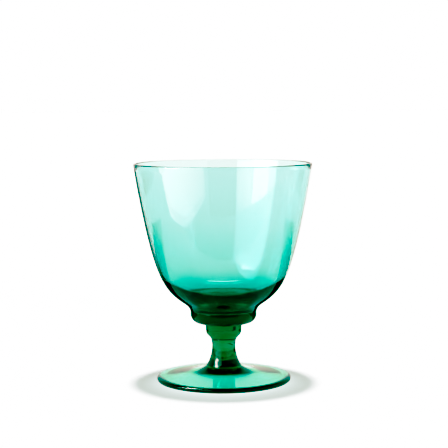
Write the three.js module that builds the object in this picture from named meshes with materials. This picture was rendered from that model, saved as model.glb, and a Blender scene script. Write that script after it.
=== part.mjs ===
// A stemmed goblet in green glass, assembled hot by hand from five gathers of glass:
// a blown bowl with a thick base, a wide collar, a narrow collar, a waisted stem and a foot.
// Every piece is a solid of revolution about +Z. The foot stands on z = 0. Units are millimetres.
import * as THREE from "three";

// Heights of the planes where one piece is fused to the next, from the table up.
const FOOT_TOP_Z = 8.4;
const STEM_TOP_Z = 21.6;
const NARROW_COLLAR_TOP_Z = 31.0;
const WIDE_COLLAR_TOP_Z = 38.8;
const RIM_Z = 120;

// Radii at those planes, and at the foot's edge.
const FOOT_RADIUS = 36.9;
const FOOT_TOP_RADIUS = 9.5;
const STEM_TOP_RADIUS = 6.5;
const NARROW_COLLAR_RADIUS = 9.8;
const WIDE_COLLAR_RADIUS = 18.15;
const RIM_RADIUS = 48.9;

// Glass thickness: the blown wall at the lip, the bowl's floor on the axis and the foot's edge.
const LIP_THICKNESS = 1.3;
const FLOOR_THICKNESS = 5.4;
const FOOT_EDGE_THICKNESS = 2.7;

// The foot rests on a flat ring. Inside it the underside rises with the top, at about the same
// thickness of glass.
const REST_RING_INNER_RADIUS = 33;
const UNDERSIDE_HOLLOW = 4.8;

// Points that shape the curves, each as radius and height.
// Bowl: end of the fillet above the collar, then the two pulls of the outer wall.
const FILLET_BEND = [18.5, 40.9];
const FILLET_END = [21.4, 43];
const OUTER_BASE_PULL = [33.7, 51.5];
const OUTER_WALL_PULL = [38.3, 56.5];
// Bowl inside: two pulls of the wall, the turn into the floor, and the two pulls of the floor.
const INNER_LIP_PULL = [43.4, 96];
const INNER_WALL_PULL = [38.4, 71.8];
const INNER_TURN = [32.6, 59.4];
const INNER_TURN_PULL = [28.3, 50.2];
const INNER_FLOOR_PULL_RADIUS = 17.5;
// Wide collar: height of its underside, and the pulls of its rounded lower edge.
const WIDE_COLLAR_UNDERSIDE_Z = 31.8;
const UNDERSIDE_FILLET_RADIUS = 11;
const LOWER_EDGE_PULL_RADIUS = 15.4;
const LOWER_EDGE_PULL_Z = 33.6;
const WIDE_COLLAR_FULL_Z = 38.2;
// Narrow collar: foot of its upright side, and the pulls that draw it in to the stem.
const DRUM_FOOT = [9.6, 28];
const DRUM_PULL = [9.6, 24.6];
const NECK_PULL = [7.1, 25.1];
// Stem: the pulls that give it a waist.
const STEM_FLARE_PULL = [6.9, 12.3];
const STEM_WAIST_PULL = [5.7, 17.6];
// Foot: the pulls of its top, from the stem outwards, and those of its hollow.
const FOOT_FLARE_PULL = [11.6, 5.6];
const FOOT_SLOPE_PULL = [22, 3.9];
const HOLLOW_CENTRE_PULL_RADIUS = 9;
const HOLLOW_EDGE_PULL = [18, 2];

const SIDES = 48;
const GLASS_COLOUR = 0x1fae84;

// Each piece has its own material, all of the same clear green glass.
function greenGlass() {
  return new THREE.MeshStandardMaterial({
    color: GLASS_COLOUR,
    roughness: 0.04,
    metalness: 0,
    transparent: true,
    opacity: 0.45,
  });
}

// A profile is a list of radius and height points that starts and ends on the axis.
function turnedPiece(name, profile) {
  const geometry = new THREE.LatheGeometry(profile, SIDES);
  geometry.rotateX(Math.PI / 2);
  const piece = new THREE.Mesh(geometry, greenGlass());
  piece.name = name;
  return piece;
}

// An outline begins with a flat disc at height z, from the axis out to a radius.
function outlineFromDisc(radius, z) {
  const outline = new THREE.Path();
  outline.moveTo(0, z);
  outline.lineTo(radius, z);
  return outline;
}

// The outside leaves the collar in a small fillet and sweeps up to a nearly straight flared wall.
// The inside follows it at the thickness of the wall, then turns into a shallow, heavy floor.
function bowl() {
  const lip = LIP_THICKNESS / 2;
  const lipZ = RIM_Z - lip;
  const floorZ = WIDE_COLLAR_TOP_Z + FLOOR_THICKNESS;
  const outside = outlineFromDisc(WIDE_COLLAR_RADIUS, WIDE_COLLAR_TOP_Z);
  outside.quadraticCurveTo(...FILLET_BEND, ...FILLET_END);
  outside.bezierCurveTo(...OUTER_BASE_PULL, ...OUTER_WALL_PULL, RIM_RADIUS, lipZ);
  const rounding = new THREE.Path();
  rounding.absarc(RIM_RADIUS - lip, lipZ, lip, 0, Math.PI);
  const inside = new THREE.Path();
  inside.moveTo(RIM_RADIUS - LIP_THICKNESS, lipZ);
  inside.bezierCurveTo(...INNER_LIP_PULL, ...INNER_WALL_PULL, ...INNER_TURN);
  inside.bezierCurveTo(...INNER_TURN_PULL, INNER_FLOOR_PULL_RADIUS, floorZ, 0, floorZ);
  return turnedPiece("bowl", [
    ...outside.getPoints(9),
    ...rounding.getPoints(3).slice(1, -1),
    ...inside.getPoints(8),
  ]);
}

// A flattened bead: full at the top, rounded under, with a fillet into the narrow collar.
function wideCollar() {
  const outline = outlineFromDisc(NARROW_COLLAR_RADIUS, NARROW_COLLAR_TOP_Z);
  outline.quadraticCurveTo(
    NARROW_COLLAR_RADIUS,
    WIDE_COLLAR_UNDERSIDE_Z,
    UNDERSIDE_FILLET_RADIUS,
    WIDE_COLLAR_UNDERSIDE_Z,
  );
  outline.bezierCurveTo(
    LOWER_EDGE_PULL_RADIUS,
    WIDE_COLLAR_UNDERSIDE_Z,
    WIDE_COLLAR_RADIUS,
    LOWER_EDGE_PULL_Z,
    WIDE_COLLAR_RADIUS,
    WIDE_COLLAR_FULL_Z,
  );
  outline.lineTo(WIDE_COLLAR_RADIUS, WIDE_COLLAR_TOP_Z);
  outline.lineTo(0, WIDE_COLLAR_TOP_Z);
  return turnedPiece("wide_collar", outline.getPoints(6));
}

// A short drum whose lower edge is drawn in to the top of the stem.
function narrowCollar() {
  const outline = outlineFromDisc(STEM_TOP_RADIUS, STEM_TOP_Z);
  outline.bezierCurveTo(...NECK_PULL, ...DRUM_PULL, ...DRUM_FOOT);
  outline.lineTo(NARROW_COLLAR_RADIUS, NARROW_COLLAR_TOP_Z);
  outline.lineTo(0, NARROW_COLLAR_TOP_Z);
  return turnedPiece("narrow_collar", outline.getPoints(7));
}

// The stem narrows to a waist and flares towards the foot.
function stem() {
  const outline = outlineFromDisc(FOOT_TOP_RADIUS, FOOT_TOP_Z);
  outline.bezierCurveTo(...STEM_FLARE_PULL, ...STEM_WAIST_PULL, STEM_TOP_RADIUS, STEM_TOP_Z);
  outline.lineTo(0, STEM_TOP_Z);
  return turnedPiece("stem", outline.getPoints(8));
}

// A thin disc whose top rises to the stem in a curve, with a rounded edge.
function foot() {
  const edge = FOOT_EDGE_THICKNESS / 2;
  const hollow = new THREE.Path();
  hollow.moveTo(0, UNDERSIDE_HOLLOW);
  hollow.bezierCurveTo(
    HOLLOW_CENTRE_PULL_RADIUS,
    UNDERSIDE_HOLLOW,
    ...HOLLOW_EDGE_PULL,
    REST_RING_INNER_RADIUS,
    0,
  );
  const rounding = new THREE.Path();
  rounding.absarc(FOOT_RADIUS - edge, edge, edge, -Math.PI / 2, Math.PI / 2);
  const top = new THREE.Path();
  top.moveTo(FOOT_RADIUS - edge, FOOT_EDGE_THICKNESS);
  top.bezierCurveTo(...FOOT_SLOPE_PULL, ...FOOT_FLARE_PULL, FOOT_TOP_RADIUS, FOOT_TOP_Z);
  top.lineTo(0, FOOT_TOP_Z);
  return turnedPiece("foot", [
    ...hollow.getPoints(8),
    ...rounding.getPoints(4),
    ...top.getPoints(7).slice(1),
  ]);
}

const wineGlass = new THREE.Group();
wineGlass.add(foot(), stem(), narrowCollar(), wideCollar(), bowl());

export default wineGlass;
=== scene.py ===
import math

import bpy
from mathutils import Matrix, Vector


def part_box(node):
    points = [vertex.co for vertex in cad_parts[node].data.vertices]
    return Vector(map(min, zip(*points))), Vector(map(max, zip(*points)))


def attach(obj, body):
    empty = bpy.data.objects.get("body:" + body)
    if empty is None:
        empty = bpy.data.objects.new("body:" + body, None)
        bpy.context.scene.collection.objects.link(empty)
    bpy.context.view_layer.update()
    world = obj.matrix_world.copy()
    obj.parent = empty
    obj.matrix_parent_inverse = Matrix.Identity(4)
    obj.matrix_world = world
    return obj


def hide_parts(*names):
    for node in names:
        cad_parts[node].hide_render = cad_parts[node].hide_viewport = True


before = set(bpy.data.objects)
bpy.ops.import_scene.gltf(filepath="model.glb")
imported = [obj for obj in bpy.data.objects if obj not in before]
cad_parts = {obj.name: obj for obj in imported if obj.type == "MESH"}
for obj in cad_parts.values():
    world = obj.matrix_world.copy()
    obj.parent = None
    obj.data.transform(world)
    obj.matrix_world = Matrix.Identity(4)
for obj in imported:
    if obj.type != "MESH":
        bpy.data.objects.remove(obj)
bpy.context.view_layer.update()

MM = 0.001

# ---------------------------------------------------------------- sizes, in metres

HAIR_GAP = 0.02 * MM  # between two fused faces, so that each piece stays a closed solid
SIDES = 240  # steps round the axis

LIP_THICKNESS = 1.3 * MM
FOOT_EDGE_THICKNESS = 2.7 * MM
STEM_TOP_RADIUS = 6.5 * MM
REST_RING_INNER_RADIUS = 33 * MM
UNDERSIDE_HOLLOW = 4.8 * MM
FLOOR_THICKNESS = 5.4 * MM


def top_of(node):
    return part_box(node)[1].z


def radius_of(node):
    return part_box(node)[1].x


FOOT_TOP_Z = top_of("foot")
STEM_TOP_Z = top_of("stem")
NARROW_COLLAR_TOP_Z = top_of("narrow_collar")
WIDE_COLLAR_TOP_Z = top_of("wide_collar")
RIM_Z = top_of("bowl")
FOOT_RADIUS = radius_of("foot")
FOOT_TOP_RADIUS = radius_of("stem")
NARROW_COLLAR_RADIUS = radius_of("narrow_collar")
WIDE_COLLAR_RADIUS = radius_of("wide_collar")
RIM_RADIUS = radius_of("bowl")


ON_AXIS = 1e-9  # a point nearer the axis than this is on it


# ---------------------------------------------------------------- helpers

def link_object(name, data):
    """A new object of the mesh, light or camera, in the scene."""
    made = bpy.data.objects.new(name, data)
    bpy.context.scene.collection.objects.link(made)
    return made


def empty_material(name):
    """A material with only its output node, with its nodes and links."""
    material = bpy.data.materials.new(name)
    material.use_nodes = True
    nodes, links = material.node_tree.nodes, material.node_tree.links
    nodes.clear()
    output = nodes.new("ShaderNodeOutputMaterial")
    return material, nodes, links, output


# ---------------------------------------------------------------- outlines

def mm(radius, height):
    return Vector((radius * MM, height * MM))


def curve(*points, steps=24):
    """Points along a Bezier curve of any degree, without the first one."""
    found = []
    for step in range(1, steps + 1):
        t = step / steps
        row = [Vector(p) for p in points]
        while len(row) > 1:
            row = [a.lerp(b, t) for a, b in zip(row, row[1:])]
        found.append(row[0])
    return found


def arc(centre, radius, start, end, steps=12):
    """Points along a circular arc between two angles in degrees, without the first one."""
    found = []
    for step in range(1, steps + 1):
        angle = math.radians(start + (end - start) * step / steps)
        found.append(centre + Vector((math.cos(angle), math.sin(angle))) * radius)
    return found


def disc(radius, z, steps=3):
    """Points from the axis out to the radius, at one height."""
    return [Vector((radius * step / steps, z)) for step in range(steps + 1)]


class Outline:
    """The section of a turned piece from the axis, round the outside, back to the axis.
    Each stretch says whether it is a fused joint, where light passes straight on."""

    def __init__(self):
        self.points = []
        self.fused = []

    def add(self, points, fused=False):
        for point in points:
            if self.points:
                self.fused.append(fused)
            self.points.append(Vector(point))
        return self

    @property
    def end(self):
        return self.points[-1]


def bowl_outline():
    joint_z = WIDE_COLLAR_TOP_Z + HAIR_GAP / 2
    floor_z = WIDE_COLLAR_TOP_Z + FLOOR_THICKNESS
    lip = LIP_THICKNESS / 2
    lip_z = RIM_Z - lip
    line = Outline()
    line.add(disc(WIDE_COLLAR_RADIUS, joint_z), fused=True)
    line.add(curve(line.end, mm(18.5, 40.9), mm(21.4, 43), steps=12))
    line.add(curve(line.end, mm(33.7, 51.5), mm(38.3, 56.5), (RIM_RADIUS, lip_z), steps=64))
    line.add(arc(Vector((RIM_RADIUS - lip, lip_z)), lip, 0, 180))
    line.add(curve(line.end, mm(43.4, 96), mm(38.4, 71.8), mm(32.6, 59.4), steps=40))
    line.add(curve(line.end, mm(28.3, 50.2), (17.5 * MM, floor_z), (0, floor_z), steps=40))
    return line


def wide_collar_outline():
    low = NARROW_COLLAR_TOP_Z + HAIR_GAP / 2
    high = WIDE_COLLAR_TOP_Z - HAIR_GAP / 2
    under = 31.8 * MM
    line = Outline()
    line.add(disc(NARROW_COLLAR_RADIUS, low), fused=True)
    line.add(curve(line.end, (NARROW_COLLAR_RADIUS, under), mm(11, 31.8), steps=8))
    line.add(curve(line.end, mm(15.4, 31.8), (WIDE_COLLAR_RADIUS, 33.6 * MM),
                   (WIDE_COLLAR_RADIUS, 38.2 * MM), steps=28))
    line.add([(WIDE_COLLAR_RADIUS, high)])
    line.add(reversed(disc(WIDE_COLLAR_RADIUS, high)[:-1]), fused=True)
    return line


def narrow_collar_outline():
    low = STEM_TOP_Z + HAIR_GAP / 2
    high = NARROW_COLLAR_TOP_Z - HAIR_GAP / 2
    line = Outline()
    line.add(disc(STEM_TOP_RADIUS, low), fused=True)
    line.add(curve(line.end, mm(7.1, 25.1), mm(9.6, 24.6), mm(9.6, 28), steps=24))
    line.add([(NARROW_COLLAR_RADIUS, high)])
    line.add(reversed(disc(NARROW_COLLAR_RADIUS, high)[:-1]), fused=True)
    return line


def stem_outline():
    low = FOOT_TOP_Z + HAIR_GAP / 2
    high = STEM_TOP_Z - HAIR_GAP / 2
    line = Outline()
    line.add(disc(FOOT_TOP_RADIUS, low), fused=True)
    line.add(curve(line.end, mm(6.9, 12.3), mm(5.7, 17.6), (STEM_TOP_RADIUS, high), steps=32))
    line.add(reversed(disc(STEM_TOP_RADIUS, high)[:-1]), fused=True)
    return line


def foot_outline():
    high = FOOT_TOP_Z - HAIR_GAP / 2
    edge = FOOT_EDGE_THICKNESS / 2
    line = Outline()
    line.add([(0, UNDERSIDE_HOLLOW)])
    line.add(curve(line.end, (9 * MM, UNDERSIDE_HOLLOW), mm(18, 2),
                   (REST_RING_INNER_RADIUS, 0), steps=28))
    line.add([(FOOT_RADIUS - edge, 0)])
    line.add(arc(Vector((FOOT_RADIUS - edge, edge)), edge, -90, 90))
    line.add(curve(line.end, mm(22, 3.9), mm(11.6, 5.6), (FOOT_TOP_RADIUS, high), steps=40))
    line.add(reversed(disc(FOOT_TOP_RADIUS, high)[:-1]), fused=True)
    return line


def turned_mesh(name, line, sides=SIDES):
    """A closed mesh of the outline turned about +Z, with joint_face set to 1 on fused faces."""
    rings, vertices = [], []
    for radius, height in line.points:
        if radius < ON_AXIS:
            rings.append([len(vertices)] * sides)
            vertices.append((0, 0, height))
            continue
        rings.append(list(range(len(vertices), len(vertices) + sides)))
        for side in range(sides):
            angle = math.tau * side / sides
            vertices.append((radius * math.cos(angle), radius * math.sin(angle), height))
    faces, fused = [], []
    for low, high, joint in zip(rings, rings[1:], line.fused):
        for side in range(sides):
            after = (side + 1) % sides
            corners = (low[side], low[after], high[after], high[side])
            face = tuple(dict.fromkeys(corners))
            faces.append(face)
            fused.append(1.0 if joint else 0.0)
    mesh = bpy.data.meshes.new(name)
    mesh.from_pydata(vertices, [], faces)
    mesh.validate()
    mesh.attributes.new("joint_face", "FLOAT", "FACE").data.foreach_set("value", fused)
    sharp = {tuple(sorted((ring[i], ring[(i + 1) % sides])))
             for before, after, ring in zip([False] + line.fused, line.fused, rings)
             if before != after for i in range(sides)}
    mesh.shade_smooth()
    for edge in mesh.edges:
        if tuple(sorted(edge.vertices)) in sharp:
            edge.use_edge_sharp = True
    mesh.update()
    return mesh


# ---------------------------------------------------------------- materials

# What the glass takes from light, as a density per metre and the colour that it spares. The
# heavy pieces look a purer green than the thin wall of the bowl.
BOWL_ABSORPTION = 220.0
BOWL_SPARED = (0.0, 0.66, 0.59, 1.0)
BASE_ABSORPTION = 400.0
BASE_SPARED = (0.0, 0.75, 0.6, 1.0)
GLASS_IOR = 1.5
JOINT_IOR = 1.0  # light passes straight on through the fused faces

# The surface of hand-made glass: shallow waves left by the tools, and a faint haze in patches.
WAVES_PER_METRE = 40.0
WAVE_DETAIL = 1.0
WAVE_STRENGTH = 0.02
WAVE_HEIGHT = 0.25 * MM
HAZE_PER_METRE = 140.0
HAZE_DETAIL = 3.0
HAZE_STARTS = 0.55
HAZE_IS_FULL = 0.8
HAZE_ROUGHNESS = 0.006


def add_hand_finish(nodes, links, surface):
    """Links the waves to the normal of the surface, and the haze to its roughness."""
    place = nodes.new("ShaderNodeTexCoord")
    waves = nodes.new("ShaderNodeTexNoise")
    waves.inputs["Scale"].default_value = WAVES_PER_METRE
    waves.inputs["Detail"].default_value = WAVE_DETAIL
    links.new(place.outputs["Object"], waves.inputs["Vector"])
    bump = nodes.new("ShaderNodeBump")
    bump.inputs["Strength"].default_value = WAVE_STRENGTH
    bump.inputs["Distance"].default_value = WAVE_HEIGHT
    links.new(waves.outputs["Fac"], bump.inputs["Height"])
    links.new(bump.outputs["Normal"], surface.inputs["Normal"])
    haze = nodes.new("ShaderNodeTexNoise")
    haze.inputs["Scale"].default_value = HAZE_PER_METRE
    haze.inputs["Detail"].default_value = HAZE_DETAIL
    links.new(place.outputs["Object"], haze.inputs["Vector"])
    patches = nodes.new("ShaderNodeMapRange")
    patches.inputs["From Min"].default_value = HAZE_STARTS
    patches.inputs["From Max"].default_value = HAZE_IS_FULL
    patches.inputs["To Max"].default_value = HAZE_ROUGHNESS
    links.new(haze.outputs["Fac"], patches.inputs["Value"])
    links.new(patches.outputs["Result"], surface.inputs["Roughness"])


def green_glass(name, density, spared):
    material, nodes, links, output = empty_material(name)
    surface = nodes.new("ShaderNodeBsdfPrincipled")
    surface.inputs["Base Color"].default_value = (1.0, 1.0, 1.0, 1.0)
    surface.inputs["Transmission Weight"].default_value = 1.0
    links.new(surface.outputs["BSDF"], output.inputs["Surface"])
    add_hand_finish(nodes, links, surface)
    joint = nodes.new("ShaderNodeAttribute")
    joint.attribute_name = "joint_face"
    ior = nodes.new("ShaderNodeMapRange")
    ior.inputs["To Min"].default_value = GLASS_IOR
    ior.inputs["To Max"].default_value = JOINT_IOR
    links.new(joint.outputs["Fac"], ior.inputs["Value"])
    links.new(ior.outputs["Result"], surface.inputs["IOR"])
    absorption = nodes.new("ShaderNodeVolumeAbsorption")
    absorption.inputs["Color"].default_value = spared
    absorption.inputs["Density"].default_value = density
    links.new(absorption.outputs["Volume"], output.inputs["Volume"])
    return material


def matt_material(name, colour):
    material = bpy.data.materials.new(name)
    material.use_nodes = True
    surface = material.node_tree.nodes["Principled BSDF"]
    surface.inputs["Base Color"].default_value = colour
    surface.inputs["Roughness"].default_value = 1.0
    surface.inputs["Specular IOR Level"].default_value = 0.0
    return material


# ---------------------------------------------------------------- the glass

def add_glass_piece(node, line, material):
    name = node + "_glass"
    piece = link_object(name, turned_mesh(name, line))
    piece.data.materials.append(material)
    piece.visible_shadow = False
    piece.visible_diffuse = False
    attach(piece, "root")
    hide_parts(node)


bowl_glass = green_glass("bowl_glass", BOWL_ABSORPTION, BOWL_SPARED)
base_glass = green_glass("base_glass", BASE_ABSORPTION, BASE_SPARED)
OUTLINES = {
    "bowl": bowl_outline(),
    "wide_collar": wide_collar_outline(),
    "narrow_collar": narrow_collar_outline(),
    "stem": stem_outline(),
    "foot": foot_outline(),
}
for node, line in OUTLINES.items():
    add_glass_piece(node, line, bowl_glass if node == "bowl" else base_glass)


# ---------------------------------------------------------------- the studio

FLOOR_HALF_WIDTH = 20.0
FLOOR_DROP = 0.05 * MM  # keeps the floor off the resting ring
FLOOR_COLOUR = (0.9, 0.9, 0.9, 1.0)


def add_floor():
    mesh = bpy.data.meshes.new("floor")
    half = FLOOR_HALF_WIDTH
    corners = [(-half, -half, 0), (half, -half, 0), (half, half, 0), (-half, half, 0)]
    mesh.from_pydata(corners, [], [(0, 1, 2, 3)])
    floor = link_object("floor", mesh)
    floor.location.z = -FLOOR_DROP
    mesh.materials.append(matt_material("floor", FLOOR_COLOUR))


# The shadow stand-in: the light that it lets through face on and edge on, how fast one goes over
# into the other, and how much wider than the bowl it is, as the light spreads on its way down.
SHADOW_CLEAR = (0.84, 0.94, 0.95, 1.0)
SHADOW_EDGE = (0.0, 0.15, 0.17, 1.0)
SHADOW_STEEPNESS = 2.1
SHADOW_SPREAD = 1.03
SHADOW_SIDES = 96
MIX_FIRST_COLOUR, MIX_SECOND_COLOUR = 6, 7  # the two colour inputs of a mix node
MIX_COLOUR_RESULT = 2


def shadow_material():
    """Lets light through the stand-in below: less of it where the light meets it edge on."""
    material, nodes, links, output = empty_material("shadow_stand_in")
    clear = nodes.new("ShaderNodeBsdfTransparent")
    slant = nodes.new("ShaderNodeLayerWeight")
    slant.inputs["Blend"].default_value = 0.5
    steep = nodes.new("ShaderNodeMath")
    steep.operation = "POWER"
    steep.inputs[1].default_value = SHADOW_STEEPNESS
    ramp = nodes.new("ShaderNodeMix")
    ramp.data_type = "RGBA"
    ramp.inputs[MIX_FIRST_COLOUR].default_value = SHADOW_CLEAR
    ramp.inputs[MIX_SECOND_COLOUR].default_value = SHADOW_EDGE
    links.new(slant.outputs["Facing"], steep.inputs[0])
    links.new(steep.outputs[0], ramp.inputs[0])
    links.new(ramp.outputs[MIX_COLOUR_RESULT], clear.inputs["Color"])
    links.new(clear.outputs["BSDF"], output.inputs["Surface"])
    return material


def add_shadow_stand_in():
    """The glass casts no shadow: this unseen copy of the bowl does, with soft tinted edges."""
    name = "bowl_shadow"
    piece = link_object(name, turned_mesh(name, OUTLINES["bowl"], sides=SHADOW_SIDES))
    piece.data.materials.append(shadow_material())
    piece.visible_camera = False
    piece.visible_diffuse = False
    piece.visible_glossy = False
    piece.visible_transmission = False
    piece.scale = (SHADOW_SPREAD, SHADOW_SPREAD, 1.0)


SUN_STRENGTH = 1.75
SUN_WIDTH = 3.5  # degrees across
SUN_TILT_BACK = 3.6  # degrees from straight above


def add_sun():
    data = bpy.data.lights.new("overhead_sun", "SUN")
    data.energy = SUN_STRENGTH
    data.angle = math.radians(SUN_WIDTH)
    sun = link_object("overhead_sun", data)
    sun.rotation_euler = (math.radians(-SUN_TILT_BACK), 0, 0)
    sun.visible_camera = False
    sun.visible_glossy = False
    sun.visible_transmission = False


def show_when(nodes, links, condition, shader, output):
    """Shows the shader where the condition is 1, and nothing at all where it is 0."""
    nothing = nodes.new("ShaderNodeBsdfTransparent")
    choice = nodes.new("ShaderNodeMixShader")
    links.new(condition, choice.inputs[0])
    links.new(nothing.outputs["BSDF"], choice.inputs[1])
    links.new(shader, choice.inputs[2])
    links.new(choice.outputs["Shader"], output.inputs["Surface"])


def emitter_material(name):
    """Light of the strength that the mesh holds at each point as "radiance". Light that comes
    straight through the glass, without a reflection, doesn't see it."""
    material, nodes, links, output = empty_material(name)
    emission = nodes.new("ShaderNodeEmission")
    radiance = nodes.new("ShaderNodeAttribute")
    radiance.attribute_name = "radiance"
    links.new(radiance.outputs["Fac"], emission.inputs["Strength"])
    path = nodes.new("ShaderNodeLightPath")
    reflected = nodes.new("ShaderNodeMath")
    reflected.operation = "MINIMUM"
    reflected.inputs[1].default_value = 1.0
    links.new(path.outputs["Glossy Depth"], reflected.inputs[0])
    show_when(nodes, links, reflected.outputs[0], emission.outputs["Emission"], output)
    return material


def stage_for_the_glass(name, mesh):
    """Puts the mesh on the stage so that only the glass sees it, by reflection and refraction."""
    staged = link_object(name, mesh)
    staged.visible_camera = False
    staged.visible_diffuse = False
    staged.visible_shadow = False
    return staged


def add_emitter(name, vertices, faces, radiance):
    """A bright panel that only the glass sees."""
    mesh = bpy.data.meshes.new(name)
    mesh.from_pydata(vertices, [], faces)
    mesh.attributes.new("radiance", "FLOAT", "POINT").data.foreach_set("value", radiance)
    mesh.materials.append(emitter_material(name))
    return stage_for_the_glass(name, mesh)


# The softbox stands on the table to the left, bent round the glass. Each post gives where it
# stands, how high it is and how bright, from the camera's end to the far end.
SOFTBOX_POSTS = (
    (-0.104, -0.259, 0.27, 2.0),
    (-0.170, -0.140, 0.29, 5.0),
    (-0.262, -0.068, 0.36, 7.0),
    (-0.500, -0.042, 0.60, 7.0),
)
# Share of a post's height, and share of its brightness there.
SOFTBOX_ROWS = ((0.0, 0.6), (0.25, 0.65), (0.6, 1.0), (1.0, 1.6))


def add_softbox():
    vertices, radiance, faces = [], [], []
    for x, y, height, bright in SOFTBOX_POSTS:
        for rise, share in SOFTBOX_ROWS:
            vertices.append((x, y, height * rise))
            radiance.append(bright * share)
    rows = len(SOFTBOX_ROWS)
    for post in range(len(SOFTBOX_POSTS) - 1):
        for row in range(rows - 1):
            low = post * rows + row
            faces.append((low, low + rows, low + rows + 1, low + 1))
    add_emitter("softbox", vertices, faces, radiance)


# A brighter panel in front of the softbox draws the white streak on the stem. Only light that
# leaves the glass by a reflection sees it.
STREAK_PANEL_ENDS = ((-0.165, -0.136), (-0.254, -0.066))
STREAK_PANEL_HEIGHTS = (0.10, 0.36)
STREAK_RADIANCE = 16.0


def add_streak_panel():
    near, far = STREAK_PANEL_ENDS
    low, high = STREAK_PANEL_HEIGHTS
    corners = [(*near, low), (*far, low), (*far, high), (*near, high)]
    panel = add_emitter("streak_panel", corners, [(0, 1, 2, 3)], [STREAK_RADIANCE] * 4)
    panel.visible_transmission = False


# Three bright strips hang high behind the glass, at these angles above the level of the bowl's
# floor, in degrees.
STRIP_DISTANCE = 0.8
STRIP_HALF_LENGTH = 0.2
STRIP_HALF_WIDTH = 0.02
STRIP_ELEVATIONS = (60.0, 68.0, 76.0)
STRIP_RADIANCE = 10.0


def add_strips():
    floor_z = WIDE_COLLAR_TOP_Z + FLOOR_THICKNESS
    for number, elevation in enumerate(STRIP_ELEVATIONS, start=1):
        turn = math.radians(elevation)
        across = Vector((0, math.cos(turn), math.sin(turn))) * STRIP_DISTANCE
        middle = across + Vector((0, 0, floor_z))
        up = Vector((0, -math.sin(turn), math.cos(turn))) * STRIP_HALF_WIDTH
        side = Vector((STRIP_HALF_LENGTH, 0, 0))
        corners = [middle - side - up, middle + side - up, middle + side + up, middle - side + up]
        add_emitter(f"strip_{number}", corners, [(0, 1, 2, 3)], [STRIP_RADIANCE] * 4)


CARD_BLACK = (0.01, 0.01, 0.01, 1.0)
MOST_SURFACES = 3.5  # between the two of one solid piece and the four of the hollow bowl


def card_material(name):
    """Black, for light that has crossed one solid piece of glass or none. Light that has crossed
    more surfaces, as through the hollow bowl or through a joint, passes through the card."""
    material, nodes, links, output = empty_material(name)
    black = nodes.new("ShaderNodeBsdfDiffuse")
    black.inputs["Color"].default_value = CARD_BLACK
    path = nodes.new("ShaderNodeLightPath")
    one_piece = nodes.new("ShaderNodeMath")
    one_piece.operation = "LESS_THAN"
    one_piece.inputs[1].default_value = MOST_SURFACES
    links.new(path.outputs["Transmission Depth"], one_piece.inputs[0])
    show_when(nodes, links, one_piece.outputs[0], black.outputs["BSDF"], output)
    return material


def add_black_card(name, corners, faces):
    """A card that only the glass sees."""
    mesh = bpy.data.meshes.new(name)
    mesh.from_pydata(corners, [], faces)
    mesh.materials.append(card_material(name))
    return stage_for_the_glass(name, mesh)


# One card lies on the table behind the glass to the left. It spans these angles from the line
# of sight, seen from the left wall.
LYING_Z = 0.5 * MM
BACK_CARD_NEAR_Y = 0.11
BACK_CARD_FAR_Y = 1.3
BACK_CARD_INNER_ANGLE = 11.5
BACK_CARD_OUTER_ANGLE = 22.5


def add_back_card():
    def corner(y, angle):
        return (-RIM_RADIUS - y * math.tan(math.radians(angle)), y, LYING_Z)
    corners = [
        corner(BACK_CARD_NEAR_Y, BACK_CARD_INNER_ANGLE),
        corner(BACK_CARD_NEAR_Y, BACK_CARD_OUTER_ANGLE),
        corner(BACK_CARD_FAR_Y, BACK_CARD_OUTER_ANGLE),
        corner(BACK_CARD_FAR_Y, BACK_CARD_INNER_ANGLE),
    ]
    add_black_card("back_card", corners, [(0, 1, 2, 3)])


# A low card stands on each side, and draws the dark edges of the thick glass. These are its two
# ends, as angles from the line of sight.
SIDE_CARD_DISTANCE = 0.45
SIDE_CARD_HEIGHT = 0.09
SIDE_CARD_FIRST_ANGLE = 50.0
SIDE_CARD_LAST_ANGLE = 98.0


def add_side_card(name, side):
    first = math.radians(SIDE_CARD_FIRST_ANGLE)
    last = math.radians(SIDE_CARD_LAST_ANGLE)
    corners = []
    for z in (0.0, SIDE_CARD_HEIGHT):
        for angle in (first, last):
            corners.append((side * SIDE_CARD_DISTANCE * math.sin(angle),
                            SIDE_CARD_DISTANCE * math.cos(angle), z))
    card = add_black_card(name, corners, [(0, 1, 3, 2)])
    card.visible_glossy = False


# One more lies on the table to each side, behind the glass. Only light that leaves the glass by a
# reflection sees it, so it darkens the outlines of the collars and the lower bowl.
OUTLINE_CARD_CORNERS = ((0.02, 0.06), (0.30, 0.03), (0.30, 0.19), (0.04, 0.19))


def add_outline_card(name, side):
    corners = [(side * x, y, LYING_Z) for x, y in OUTLINE_CARD_CORNERS]
    card = add_black_card(name, corners, [(0, 1, 2, 3)])
    card.visible_transmission = False


# The last lies in front of the glass, just out of view, and stands up behind the camera. Only
# light that leaves the glass by a reflection sees it.
FRONT_CARD_NEAR_Y = -0.13
FRONT_CARD_FAR_Y = -1.5
FRONT_CARD_HALF_WIDTH = 0.6
FRONT_CARD_HEIGHT = 0.8


def add_front_card():
    half = FRONT_CARD_HALF_WIDTH
    corners = [
        (-half, FRONT_CARD_NEAR_Y, LYING_Z),
        (half, FRONT_CARD_NEAR_Y, LYING_Z),
        (half, FRONT_CARD_FAR_Y, LYING_Z),
        (-half, FRONT_CARD_FAR_Y, LYING_Z),
        (half, FRONT_CARD_FAR_Y, FRONT_CARD_HEIGHT),
        (-half, FRONT_CARD_FAR_Y, FRONT_CARD_HEIGHT),
    ]
    card = add_black_card("front_card", corners, [(0, 1, 2, 3), (3, 2, 4, 5)])
    card.visible_transmission = False


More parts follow.
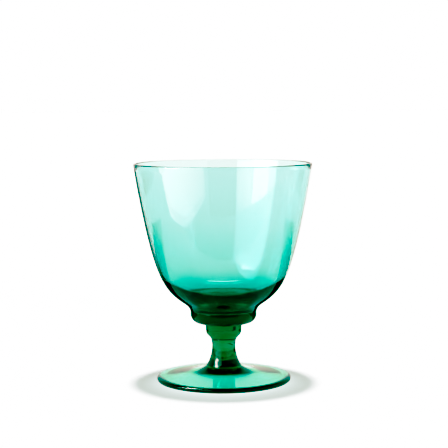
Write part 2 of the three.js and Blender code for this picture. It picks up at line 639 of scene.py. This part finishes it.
# The room: white low down all round, and dark above.
LOW_BAND_TOP = 22.0
DARK_ROOM_BOTTOM = 45.0
DARK_ROOM = 0.06
FLOOR_FILL = 0.55  # how much the room lights the floor
MIX_FIRST, MIX_SECOND = 2, 3  # the two number inputs of a mix node


def add_world():
    world = bpy.data.worlds.new("studio")
    world.use_nodes = True
    bpy.context.scene.world = world
    nodes, links = world.node_tree.nodes, world.node_tree.links
    nodes.clear()
    output = nodes.new("ShaderNodeOutputWorld")
    background = nodes.new("ShaderNodeBackground")
    background.inputs["Color"].default_value = (1.0, 1.0, 1.0, 1.0)
    links.new(background.outputs["Background"], output.inputs["Surface"])
    direction = nodes.new("ShaderNodeTexCoord")
    parts = nodes.new("ShaderNodeSeparateXYZ")
    links.new(direction.outputs["Generated"], parts.inputs[0])
    room = nodes.new("ShaderNodeMapRange")
    room.interpolation_type = "SMOOTHSTEP"
    room.inputs["From Min"].default_value = math.sin(math.radians(LOW_BAND_TOP))
    room.inputs["From Max"].default_value = math.sin(math.radians(DARK_ROOM_BOTTOM))
    room.inputs["To Min"].default_value = 1.0
    room.inputs["To Max"].default_value = DARK_ROOM
    links.new(parts.outputs["Z"], room.inputs["Value"])
    rays = nodes.new("ShaderNodeLightPath")
    seen = nodes.new("ShaderNodeMix")
    seen.inputs[MIX_SECOND].default_value = 1.0
    links.new(rays.outputs["Is Camera Ray"], seen.inputs[0])
    links.new(room.outputs["Result"], seen.inputs[MIX_FIRST])
    fill = nodes.new("ShaderNodeMix")
    fill.inputs[MIX_SECOND].default_value = FLOOR_FILL
    links.new(rays.outputs["Is Diffuse Ray"], fill.inputs[0])
    links.new(seen.outputs[0], fill.inputs[MIX_FIRST])
    links.new(fill.outputs[0], background.inputs["Strength"])


CAMERA_PLACE = (0.95 * MM, -721.8 * MM, 153.7 * MM)
CAMERA_LOOKS_DOWN = 5.316  # degrees
CAMERA_ROLL = 0.35  # degrees
SENSOR_WIDTH = 36.0  # this and the next are in millimetres
LENS_LENGTH = 106.2
NEAREST_SEEN = 0.01
FARTHEST_SEEN = 60.0


def add_camera():
    data = bpy.data.cameras.new("camera")
    data.sensor_width = SENSOR_WIDTH
    data.lens = LENS_LENGTH
    data.clip_start = NEAREST_SEEN
    data.clip_end = FARTHEST_SEEN
    camera = link_object("camera", data)
    camera.location = CAMERA_PLACE
    camera.rotation_mode = "XYZ"
    camera.rotation_euler = (math.radians(90 - CAMERA_LOOKS_DOWN), math.radians(CAMERA_ROLL), 0)
    bpy.context.scene.camera = camera


# How the camera shows light: a dark toe, a soft shoulder below white, and less red and blue in
# deep greens.
TONE_CURVE = ((0.04, 0.008), (0.12, 0.08), (0.5, 0.48), (0.67, 0.77), (0.8, 0.89))
RED_CURVE = ((0.27, 0.0), (0.34, 0.27), (0.43, 0.46))
BLUE_CURVE = ((0.15, 0.085), (0.35, 0.3))
TONE_CHANNEL, RED_CHANNEL, BLUE_CHANNEL = 3, 0, 2


def set_view():
    scene = bpy.context.scene
    scene.view_settings.view_transform = "Standard"
    scene.view_settings.look = "None"
    scene.view_settings.use_curve_mapping = True
    tone = scene.view_settings.curve_mapping
    for value, shown in TONE_CURVE:
        tone.curves[TONE_CHANNEL].points.new(value, shown)
    for value, shown in RED_CURVE:
        tone.curves[RED_CHANNEL].points.new(value, shown).handle_type = "VECTOR"
    for value, shown in BLUE_CURVE:
        tone.curves[BLUE_CHANNEL].points.new(value, shown).handle_type = "VECTOR"
    tone.update()
    scene.cycles.max_bounces = 40
    scene.cycles.transmission_bounces = 40
    scene.cycles.glossy_bounces = 16
    scene.cycles.transparent_max_bounces = 32


add_floor()
add_shadow_stand_in()
add_sun()
add_softbox()
add_streak_panel()
add_strips()
add_back_card()
add_side_card("left_card", side=-1)
add_side_card("right_card", side=1)
add_outline_card("left_outline_card", side=-1)
add_outline_card("right_outline_card", side=1)
add_front_card()
add_world()
add_camera()
set_view()
